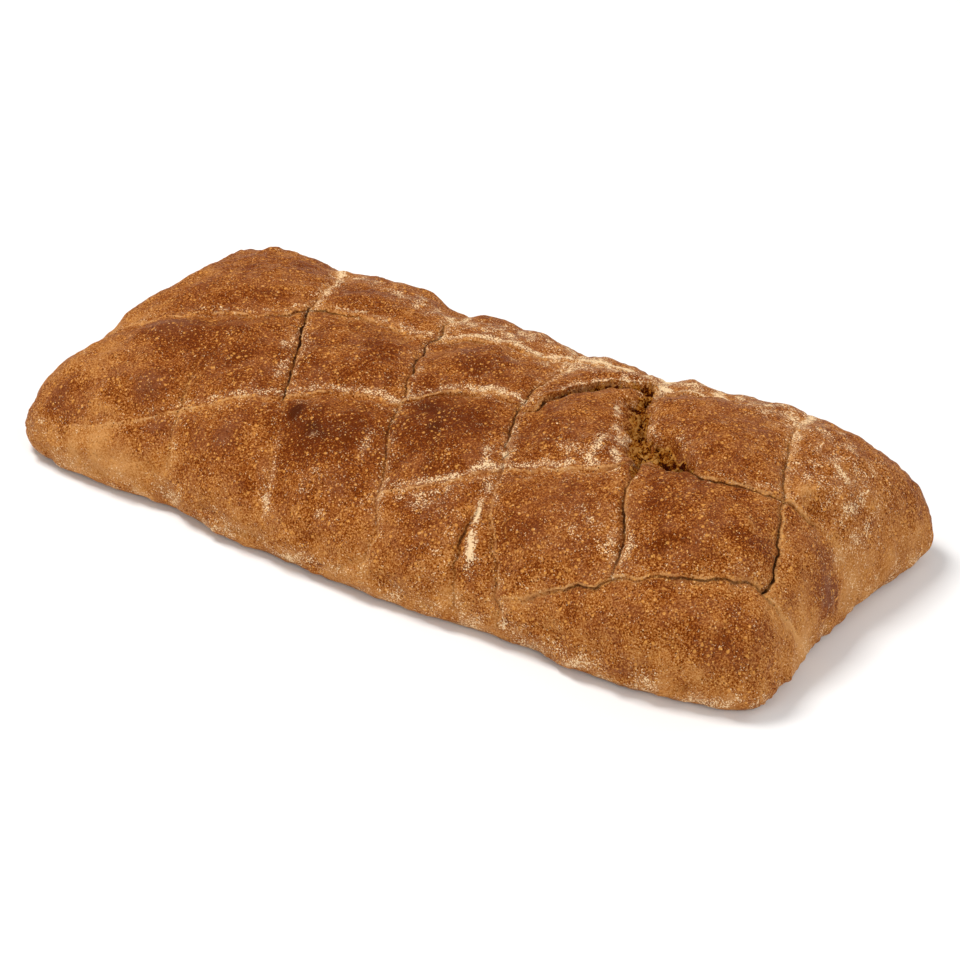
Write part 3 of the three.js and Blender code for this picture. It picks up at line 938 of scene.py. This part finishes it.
def skin(name: str, points: Array, quads: Array, triangles: Array) -> bpy.types.Mesh:
    """A smooth-shaded mesh from whole arrays of points and facets.

    Args:
        name: name of the mesh.
        points: its points, in metres.
        quads: corners of its four-sided facets.
        triangles: corners of its three-sided ones.

    Returns:
        The mesh.
    """
    mesh = bpy.data.meshes.new(name)
    corners = np.concatenate([quads.ravel(), triangles.ravel()]).astype(np.int32)
    sizes = np.concatenate([np.full(len(quads), 4), np.full(len(triangles), 3)])
    starts = np.concatenate([[0], np.cumsum(sizes)[:-1]]).astype(np.int32)
    mesh.vertices.add(len(points))
    mesh.vertices.foreach_set("co", points.astype(np.float32).ravel())
    mesh.loops.add(len(corners))
    mesh.loops.foreach_set("vertex_index", corners)
    mesh.polygons.add(len(sizes))
    mesh.polygons.foreach_set("loop_start", starts)
    mesh.polygons.foreach_set("use_smooth", np.ones(len(sizes), dtype=bool))
    mesh.update(calc_edges=True)
    mesh.validate()
    return mesh


def store(mesh: bpy.types.Mesh, name: str, values: Array) -> None:
    """Keep one number for each point of a mesh under a name.

    Args:
        mesh: the mesh.
        name: name of the reading.
        values: one number a point.
    """
    layer = mesh.attributes.new(name, "FLOAT", "POINT")
    layer.data.foreach_set("value", values.astype(np.float32))


def placed(name: str, mesh: bpy.types.Mesh) -> bpy.types.Object:
    """Put a mesh into the scene at the origin, unturned and unscaled.

    Args:
        name: name of the object.
        mesh: its mesh.

    Returns:
        The object.
    """
    thing = bpy.data.objects.new(name, mesh)
    bpy.context.scene.collection.objects.link(thing)
    return thing


# ---- Finishes ----

Socket = bpy.types.NodeSocket
Value = Socket | float


@dataclass
class Bench:
    """A bench for wiring up one material's nodes.

    Fields: the material being worked on.
    """

    material: bpy.types.Material

    def node(self, kind: str, **settings: object) -> bpy.types.Node:
        """Add a node with its settings.

        Args:
            kind: Blender's name for the node's type.
            settings: properties to set on it.

        Returns:
            The node.
        """
        made = self.material.node_tree.nodes.new(kind)
        for name, value in settings.items():
            setattr(made, name, value)
        return made

    def feed(self, target: Socket, source: Value | Colour) -> None:
        """Link a socket to a source, or set it to a plain value.

        Args:
            target: the input socket.
            source: an output socket, a number or a colour.
        """
        if isinstance(source, Socket):
            self.material.node_tree.links.new(source, target)
        elif isinstance(source, tuple):
            target.default_value = (*source, 1.0)
        else:
            target.default_value = source

    def reading(self, name: str) -> Socket:
        """A reading stored on the mesh's points, by name."""
        return self.node("ShaderNodeAttribute", attribute_name=name).outputs["Fac"]

    def place(self) -> Socket:
        """Where the surface is on the object."""
        return self.node("ShaderNodeTexCoord").outputs["Object"]

    def maths(self, how: str, a: Value, b: Value = 0.0, clamp: bool = False) -> Socket:
        """One sum.

        Args:
            how: Blender's name for the operation.
            a: first value.
            b: second value, if the operation takes two.
            clamp: whether the result is held between 0 and 1.

        Returns:
            The result.
        """
        made = self.node("ShaderNodeMath", operation=how, use_clamp=clamp)
        self.feed(made.inputs[0], a)
        self.feed(made.inputs[1], b)
        return made.outputs[0]

    def times(self, a: Value, b: Value, *more: Value) -> Socket:
        """Product of two or more values."""
        product = self.maths("MULTIPLY", a, b)
        return self.times(product, *more) if more else product

    def plus(self, a: Value, b: Value, clamp: bool = False) -> Socket:
        """Sum of two values."""
        return self.maths("ADD", a, b, clamp)

    def most(self, a: Value, b: Value) -> Socket:
        """The greater of two values."""
        return self.maths("MAXIMUM", a, b)

    def held(self, x: Value) -> Socket:
        """A value held between 0 and 1."""
        return self.plus(x, 0.0, clamp=True)

    def step(
        self, x: Value, low: float, high: float, start: float = 0.0, end: float = 1.0
    ) -> Socket:
        """Smooth step of a value.

        Args:
            x: the value.
            low: where the step begins.
            high: where it ends; it may be below low for a falling step.
            start: result at low.
            end: result at high.

        Returns:
            The stepped value.
        """
        made = self.node("ShaderNodeMapRange", interpolation_type="SMOOTHSTEP")
        if low > high:
            low, high, start, end = high, low, end, start
        ends = {"From Min": low, "From Max": high, "To Min": start, "To Max": end}
        for name, value in ends.items():
            made.inputs[name].default_value = value
        self.feed(made.inputs["Value"], x)
        return made.outputs["Result"]

    def grain(
        self, size: float, detail: float = 3.0, rough: float = 0.55, swing: Value = 0.0
    ) -> Socket:
        """Cloudy grain.

        Args:
            size: size of a cloud, in millimetres.
            detail: how many finer layers lie on it.
            rough: how strong each finer layer is.
            swing: how far it could swing about zero, if it is to.

        Returns:
            The grain, about 0.5 on average; with a swing, that less 0.5, times the swing.
        """
        made = self.node("ShaderNodeTexNoise")
        self.feed(made.inputs["Vector"], self.place())
        made.inputs["Scale"].default_value = 1.0 / (size * MM)
        made.inputs["Detail"].default_value = detail
        made.inputs["Roughness"].default_value = rough
        if swing == 0.0:
            return made.outputs["Fac"]
        return self.times(self.plus(made.outputs["Fac"], -0.5), swing)

    def cells(self, size: float) -> tuple[Socket, Socket]:
        """Scattered specks, one in each cell of a jittered lattice.

        Args:
            size: size of a cell, in millimetres.

        Returns:
            The distance from the nearest speck's middle, in cells, and a random number that is
            the same all over one cell.
        """
        made = self.node("ShaderNodeTexVoronoi", feature="F1")
        self.feed(made.inputs["Vector"], self.place())
        made.inputs["Scale"].default_value = 1.0 / (size * MM)
        split = self.node("ShaderNodeSeparateColor")
        self.feed(split.inputs[0], made.outputs["Color"])
        return made.outputs["Distance"], split.outputs[0]

    def tint(self, share: Value, below: Socket | Colour, above: Socket | Colour) -> Socket:
        """Mix two colours.

        Args:
            share: how much of the upper colour shows.
            below: the lower colour.
            above: the upper colour.

        Returns:
            The mixed colour.
        """
        made = self.node("ShaderNodeMix", data_type="RGBA")
        self.feed(made.inputs[0], share)
        self.feed(made.inputs[6], below)
        self.feed(made.inputs[7], above)
        return made.outputs[2]

    def scale(self, x: Value, stops: tuple[tuple[float, Colour], ...]) -> Socket:
        """Colour scale.

        Args:
            x: where on the scale, 0 to 1.
            stops: places on the scale and their colours.

        Returns:
            The colour at x.
        """
        made = self.node("ShaderNodeValToRGB")
        ramp = made.color_ramp
        for _ in stops[len(ramp.elements) :]:
            ramp.elements.new(0.5)
        for element, (at, colour) in zip(ramp.elements, stops):
            element.position = at
            element.color = (*colour, 1.0)
        self.feed(made.inputs[0], x)
        return made.outputs[0]

    def bump(self, height: Value, depth: float, under: Socket | None = None) -> Socket:
        """Raise a height as fine relief.

        Args:
            height: the height, 0 to 1.
            depth: what a height of 1 stands for, in millimetres.
            under: relief that this one lies on.

        Returns:
            The bent normal.
        """
        made = self.node("ShaderNodeBump")
        made.inputs["Strength"].default_value = 1.0
        made.inputs["Distance"].default_value = depth * MM
        self.feed(made.inputs["Height"], height)
        if under is not None:
            self.feed(made.inputs["Normal"], under)
        return made.outputs["Normal"]


@dataclass(frozen=True)
class CrustFinish:
    """Baked crust: browned tops, pale dough, specks, flour, seams, cracks and torn crumb.

    Fields: the colours, as linear red, green and blue: the dough as it browns and chars; its
    specks and pits, and the painted glints on its tiny blisters; flour in grains and as a film;
    the thin lip of a cut, pale dough with a painted highlight on its crest; the purplish cast of
    dusky dough; the painted shade beside the crack of a cut and down in the crack; torn crumb,
    with the painted shade in its pores and slot; and the sole. Then how strong the gloss is, and
    its colour.
    """

    pale: Colour = (0.55, 0.258, 0.082)
    golden: Colour = (0.385, 0.138, 0.028)
    brown: Colour = (0.235, 0.051, 0.004)
    scorched: Colour = (0.105, 0.017, 0.001)
    char: Colour = (0.048, 0.008, 0.001)
    speck: Colour = (0.70, 0.315, 0.070)
    pit: Colour = (0.085, 0.015, 0.001)
    # painted glints on the tiny blisters
    painted_glint: Colour = (0.74, 0.38, 0.11)
    flour: Colour = (0.86, 0.63, 0.37)
    bloom: Colour = (0.52, 0.30, 0.16)
    # pale torn dough of a lip, partly a painted highlight on its crest
    lip: Colour = (0.70, 0.39, 0.15)
    dusk: Colour = (0.24, 0.079, 0.031)
    # painted shade: the brown band on the front side of a crack
    crack_side_shade: Colour = (0.130, 0.034, 0.006)
    # painted shade down in a crack
    crack: Colour = (0.024, 0.006, 0.001)
    crumb_light: Colour = (0.66, 0.315, 0.075)
    crumb: Colour = (0.50, 0.175, 0.016)
    crumb_brown: Colour = (0.32, 0.070, 0.002)
    # painted shade in the pores and slot of torn crumb
    crumb_in_shade: Colour = (0.055, 0.005, 0.001)
    sole_brown: Colour = (0.19, 0.070, 0.018)
    sole_floury: Colour = (0.56, 0.33, 0.16)
    sole: Colour = (0.32, 0.145, 0.050)
    gloss: float = 0.1
    gloss_tint: Colour = (1.0, 0.5, 0.18)

    def line(
        self, bench: Bench, slant: Slant, what: str, width: float, offset: float = 0.0
    ) -> Socket:
        """A line drawn along one family of cuts.

        Args:
            bench: the bench to work on.
            slant: the family.
            what: the reading that says how strong the line is.
            width: half width of the line, in millimetres.
            offset: how far it lies behind the cut, in millimetres.

        Returns:
            How much of the line shows.
        """
        waver = bench.grain(2.6, swing=1.5)
        distance = bench.plus(bench.reading(f"{slant.value}_distance"), waver)
        away = bench.maths("ABSOLUTE", bench.plus(distance, -offset))
        band = bench.step(away, width * 0.35, width, 1.0, 0.0)
        return bench.times(band, bench.reading(f"{slant.value}_{what}"))

    def browned(self, bench: Bench) -> Socket:
        """How strongly marks that pale dough hardly shows come out on the crust."""
        return bench.step(bench.reading("bake"), 0.1, 0.5, 0.4, 1.0)

    def dough(self, bench: Bench) -> Socket:
        """Colour of the bare crust.

        A colour scale is read at how far the crust is baked, with mottling and flecks, and paler
        along the seams. The thin lips of the cuts, pale with a painted highlight on their crests,
        the painted shade on the front side of their cracks, the charred spots and the dusky cast lie
        over it in that order.

        Args:
            bench: the bench to work on.

        Returns:
            The colour.
        """
        mottle = bench.grain(9.0, 4.0, 0.6, swing=0.5)
        baked = bench.reading("bake")
        fleck = bench.grain(0.65, 2.0, 0.75, swing=bench.step(baked, 0.1, 0.5, 1.5, 3.4))
        bake = bench.plus(bench.plus(baked, mottle), fleck)
        broken = bench.step(bench.grain(6.0, 3.0), 0.40, 0.58, 0.1, 1.0)
        lip: Value = 0.0
        for slant in Slant:
            bake = bench.plus(bake, bench.times(self.line(bench, slant, "seam", 1.8, 0.3), -0.28))
            lip = bench.most(lip, self.line(bench, slant, "seam", 0.6, 1.1))
        dough = bench.scale(
            bench.held(bake),
            ((0.0, self.pale), (0.34, self.golden), (0.68, self.brown), (1.0, self.scorched)),
        )
        # the thin lips: pale torn dough, with a painted highlight on their crests
        dough = bench.tint(bench.times(lip, broken, 0.6), dough, self.lip)
        for slant in Slant:
            # painted shade on the front side of each crack
            crack_side_shade = bench.times(self.line(bench, slant, "crack", 1.5, -0.7), 0.65)
            dough = bench.tint(crack_side_shade, dough, self.crack_side_shade)
        burnt = bench.step(bench.plus(baked, mottle), 1.15, 1.5, 0.0, 0.75)
        dough = bench.tint(burnt, dough, self.char)
        cast = bench.step(bench.grain(10.0, 4.0, 0.6), 0.46, 0.64, 0.0, 0.35)
        cast = bench.times(cast, self.browned(bench), bench.step(baked, 0.80, 1.0, 1.0, 0.0))
        patchy = bench.step(bench.grain(2.2, 3.0, 0.65), 0.36, 0.6, 0.35, 0.85)
        cast = bench.most(cast, bench.times(bench.reading("dusk"), patchy))
        return bench.tint(bench.held(cast), dough, self.dusk)

    def specked(self, bench: Bench, under: Socket) -> Socket:
        """Pits, specks and painted glints laid over a colour.

        Args:
            bench: the bench to work on.
            under: the colour below them.

        Returns:
            The colour with them on it.
        """
        browned = self.browned(bench)
        for size, radius, share, most, tone in (
            (1.3, 0.32, 0.5, 0.95, self.pit),
            (1.2, 0.36, 0.45, 0.6, self.speck),
            (2.6, 0.28, 0.6, 0.7, self.speck),
            # painted glints: bright dots on the tops of the 1.9 mm goose bumps of the same cells, and
            # scattered 1.1 mm ones
            (1.9, 0.19, 0.6, 1.0, self.painted_glint),
            (1.1, 0.22, 0.35, 0.8, self.painted_glint),
        ):
            dots = bench.times(self.specks(bench, size, radius, share, most), browned)
            under = bench.tint(dots, under, tone)
        return under

    def floured(self, bench: Bench, under: Socket, floury: Socket) -> Socket:
        """Flour laid over a colour, as a thin film, as fine flour and as single grains.

        Args:
            bench: the bench to work on.
            under: the colour below it.
            floury: how much fine flour shows.

        Returns:
            The colour with flour on it.
        """
        flour = bench.reading("flour")
        cloudy = bench.step(bench.grain(4.0, 4.0, 0.7), 0.42, 0.62, 0.0, 0.4)
        under = bench.tint(bench.times(bench.step(flour, 0.15, 0.9), cloudy), under, self.bloom)
        under = bench.tint(bench.times(floury, 0.9), under, self.flour)
        grains = bench.times(self.specks(bench, 1.7, 0.24, 0.35, 0.9), flour)
        return bench.tint(bench.held(grains), under, self.flour)

    def torn(self, bench: Bench, under: Socket) -> Socket:
        """Torn crumb, its tone set by fine and pebbly grain and darkened by painted shade in its pores
        and slot, laid over a colour.

        Args:
            bench: the bench to work on.
            under: the colour of the crust around it.

        Returns:
            The colour with the crumb in its ragged openings.
        """
        fine = bench.grain(0.9, 2.0, 0.7, swing=2.6)
        pebbles = bench.plus(fine, bench.grain(3.0, 2.0, 0.6, swing=1.5))
        # the darkest stop is the painted shade in the crumb's pores and slot
        crumb = bench.scale(
            bench.plus(pebbles, bench.reading("painted_crumb_shade"), clamp=True),
            (
                (0.20, self.crumb_in_shade),
                (0.36, self.crumb_brown),
                (0.52, self.crumb),
                (0.80, self.crumb_light),
            ),
        )
        ragged = bench.grain(1.6, 2.0, 0.6, swing=0.8)
        opened = bench.step(bench.plus(bench.reading("crumb"), ragged), 0.34, 0.60)
        return bench.tint(opened, under, crumb)

    def cracks(self, bench: Bench) -> Socket:
        """How cracked the skin is: a thin line along each cut, faint in places, which is painted near
        black as the shade down in the crack and also dents the fine relief.

        Args:
            bench: the bench to work on.

        Returns:
            How much of the crack shows.
        """
        cracked: Value = 0.0
        for slant in Slant:
            cracked = bench.most(cracked, self.line(bench, slant, "crack", 0.55))
        return bench.times(cracked, bench.step(bench.grain(5.0, 2.0), 0.38, 0.52, 0.5, 1.0))

    def stains(self, bench: Bench) -> Socket:
        """Colour of the sole: brown, with broad and fine stains and a little flour."""
        broad, fine = bench.grain(26.0, 5.0, 0.6), bench.grain(1.0, 3.0, 0.75)
        return bench.scale(
            bench.plus(bench.times(broad, 0.5), bench.times(fine, 0.5)),
            ((0.42, self.sole_brown), (0.50, self.sole), (0.64, self.sole_floury)),
        )

    def colour(self, bench: Bench, floury: Socket, cracked: Socket) -> Socket:
        """Colour of the whole skin, laid up from the dough outwards.

        Args:
            bench: the bench to work on.
            floury: how much fine flour shows.
            cracked: how cracked the skin is.

        Returns:
            The colour.
        """
        skin_colour = self.specked(bench, self.dough(bench))
        skin_colour = self.torn(bench, self.floured(bench, skin_colour, floury))
        # painted shade: a near-black line down in each crack
        skin_colour = bench.tint(cracked, skin_colour, self.crack)
        under = bench.times(bench.reading("sole"), 0.8)
        return bench.tint(under, skin_colour, self.stains(bench))

    def specks(
        self, bench: Bench, size: float, radius: float, share: float, most: float
    ) -> Socket:
        """Small round specks scattered over the crust.

        Args:
            bench: the bench to work on.
            size: size of the cell that holds one speck, in millimetres.
            radius: radius of a speck, in cells.
            share: part of the cells that hold one.
            most: how much of the strongest one shows.

        Returns:
            How much of a speck shows.
        """
        distance, chance = bench.cells(size)
        dot = bench.step(distance, radius * 0.55, radius, 1.0, 0.0)
        return bench.times(dot, bench.step(chance, share - 0.25, share, most, 0.0))

    def flouriness(self, bench: Bench) -> Socket:
        """Grains of flour: fine grain that shows where it beats a limit set by the flour there.

        Args:
            bench: the bench to work on.

        Returns:
            How much flour shows.
        """
        grain = bench.plus(
            bench.times(bench.grain(0.6, 1.0, 0.7), 0.7), bench.times(bench.grain(3.0, 3.0), 0.3)
        )
        laid = bench.times(bench.reading("flour"), 0.22)
        return bench.step(bench.plus(grain, laid), 0.65, 0.72)

    def dress(self, piece: bpy.types.Object) -> None:
        """Give a piece this finish.

        Args:
            piece: the piece, which holds the crust's readings.
        """
        material = bpy.data.materials.new("baked crust")
        material.use_nodes = True
        bench = Bench(material)
        shader = material.node_tree.nodes["Principled BSDF"]
        floury, cracked, crumb = self.flouriness(bench), self.cracks(bench), bench.reading("crumb")
        bench.feed(shader.inputs["Base Color"], self.colour(bench, floury, cracked))
        sheen = bench.step(bench.reading("bake"), 0.3, 0.9, 0.68, 0.5)
        matt = bench.times(bench.plus(floury, crumb), 0.3)
        bench.feed(shader.inputs["Roughness"], bench.plus(sheen, matt, clamp=True))
        shader.inputs["Specular IOR Level"].default_value = self.gloss
        shader.inputs["Specular Tint"].default_value = (*self.gloss_tint, 1.0)
        skin_grain = bench.bump(bench.grain(1.1, 3.0, 0.7), 0.45)
        distance, _ = bench.cells(1.9)
        goose = bench.bump(bench.step(distance, 0.5, 0.0), 0.12, skin_grain)
        torn = bench.bump(bench.times(bench.grain(1.1, 3.0, 0.75), crumb), 1.4, goose)
        split = bench.bump(bench.times(cracked, -1.0), 0.7, torn)
        bench.feed(shader.inputs["Normal"], split)
        piece.data.materials.append(material)


# ---- Floor, light and camera ----


@dataclass(frozen=True)
class SoftLamp:
    """A square soft lamp that looks at the loaf.

    Fields: its name; where it hangs and how wide it is, in metres; its power in watts; its
    colour.
    """

    name: str
    at: tuple[float, float, float]
    width: float
    power: float
    colour: Colour = WHITE

    def hang(self) -> None:
        """Hang the lamp and turn it to the loaf."""
        light = bpy.data.lights.new(self.name, "AREA")
        light.size = self.width
        light.energy = self.power
        light.color = self.colour
        lamp = bpy.data.objects.new(self.name, light)
        lamp.location = self.at
        lamp.rotation_euler = (-Vector(self.at)).to_track_quat("-Z", "Y").to_euler()
        bpy.context.scene.collection.objects.link(lamp)


@dataclass(frozen=True)
class Studio:
    """The plain floor, the soft light and the camera.

    Fields: the floor's half size and colour, and how far out its glow starts and is full; the
    lamps; the colour and strength of the room; and the camera's bearing and height in degrees,
    its distance and the point it looks at in metres, and its lens in millimetres.
    """

    floor_half: float = 40.0
    floor_colour: Colour = (0.9, 0.9, 0.9)
    glow_from_to: tuple[float, float] = (0.4, 2.0)
    lamps: tuple[SoftLamp, ...] = (
        SoftLamp("key", (-0.45, -0.1, 1.15), 0.4, 11.5, (1.0, 0.99, 0.97)),
        SoftLamp("front", (-0.15, -1.3, 0.6), 0.8, 4.6, (1.0, 0.99, 0.97)),
        SoftLamp("side", (1.15, -0.35, 0.6), 0.8, 5.5),
        SoftLamp("back", (0.5, 1.0, 0.6), 0.8, 4.0),
    )
    room: float = 0.32
    bearing: float = 36.2
    height: float = 32.0
    distance: float = 1.1
    aim: tuple[float, float, float] = (0.01624, -0.01257, 0.020)
    lens: float = 114.51

    def lay_floor(self) -> None:
        """Lay the plain pale floor, which glows a little where the lamps don't reach."""
        h = self.floor_half
        points = np.array([[-h, -h, 0.0], [h, -h, 0.0], [h, h, 0.0], [-h, h, 0.0]])
        mesh = skin("floor", points, np.array([[0, 1, 2, 3]]), np.zeros((0, 3)))
        floor = placed("floor", mesh)
        material = bpy.data.materials.new("floor paint")
        material.use_nodes = True
        shader = material.node_tree.nodes["Principled BSDF"]
        shader.inputs["Base Color"].default_value = (*self.floor_colour, 1.0)
        shader.inputs["Roughness"].default_value = 0.9
        shader.inputs["Emission Color"].default_value = (*WHITE, 1.0)
        bench = Bench(material)
        away = bench.node("ShaderNodeVectorMath", operation="LENGTH")
        bench.feed(away.inputs[0], bench.place())
        glow = bench.step(away.outputs["Value"], *self.glow_from_to)
        bench.feed(shader.inputs["Emission Strength"], glow)
        floor.data.materials.append(material)

    def light(self) -> None:
        """Hang the lamps and set the room's own light."""
        for lamp in self.lamps:
            lamp.hang()
        world = bpy.data.worlds.new("room")
        world.use_nodes = True
        back = world.node_tree.nodes["Background"]
        back.inputs["Color"].default_value = (*WHITE, 1.0)
        back.inputs["Strength"].default_value = self.room
        bpy.context.scene.world = world
        bpy.context.scene.view_settings.view_transform = "Standard"

    def set_camera(self) -> None:
        """Set up the camera on its bearing, looking at its aim."""
        bearing, height = math.radians(self.bearing), math.radians(self.height)
        level = math.cos(height)
        back = Vector((math.sin(bearing) * level, -math.cos(bearing) * level, math.sin(height)))
        data = bpy.data.cameras.new("camera")
        data.lens = self.lens
        data.sensor_width = 36.0
        data.clip_end = 100.0
        camera = bpy.data.objects.new("camera", data)
        camera.location = Vector(self.aim) + back * self.distance
        camera.rotation_euler = back.to_track_quat("Z", "Y").to_euler()
        bpy.context.scene.collection.objects.link(camera)
        bpy.context.scene.camera = camera


def main() -> None:
    """Build the loaf, dress it, and set up the floor, light and camera around it."""
    logging.basicConfig(level=logging.INFO, format="%(name)s: %(message)s")
    loaf = LoafCrust().build()
    CrustFinish().dress(loaf)
    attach(loaf, "root")
    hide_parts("loaf")
    LOG.info("loaf: %d facets", len(loaf.data.polygons))
    studio = Studio()
    studio.lay_floor()
    studio.light()
    studio.set_camera()
    LOG.info("floor, %d lamps and camera", len(studio.lamps))


if __name__ == "__main__":
    main()
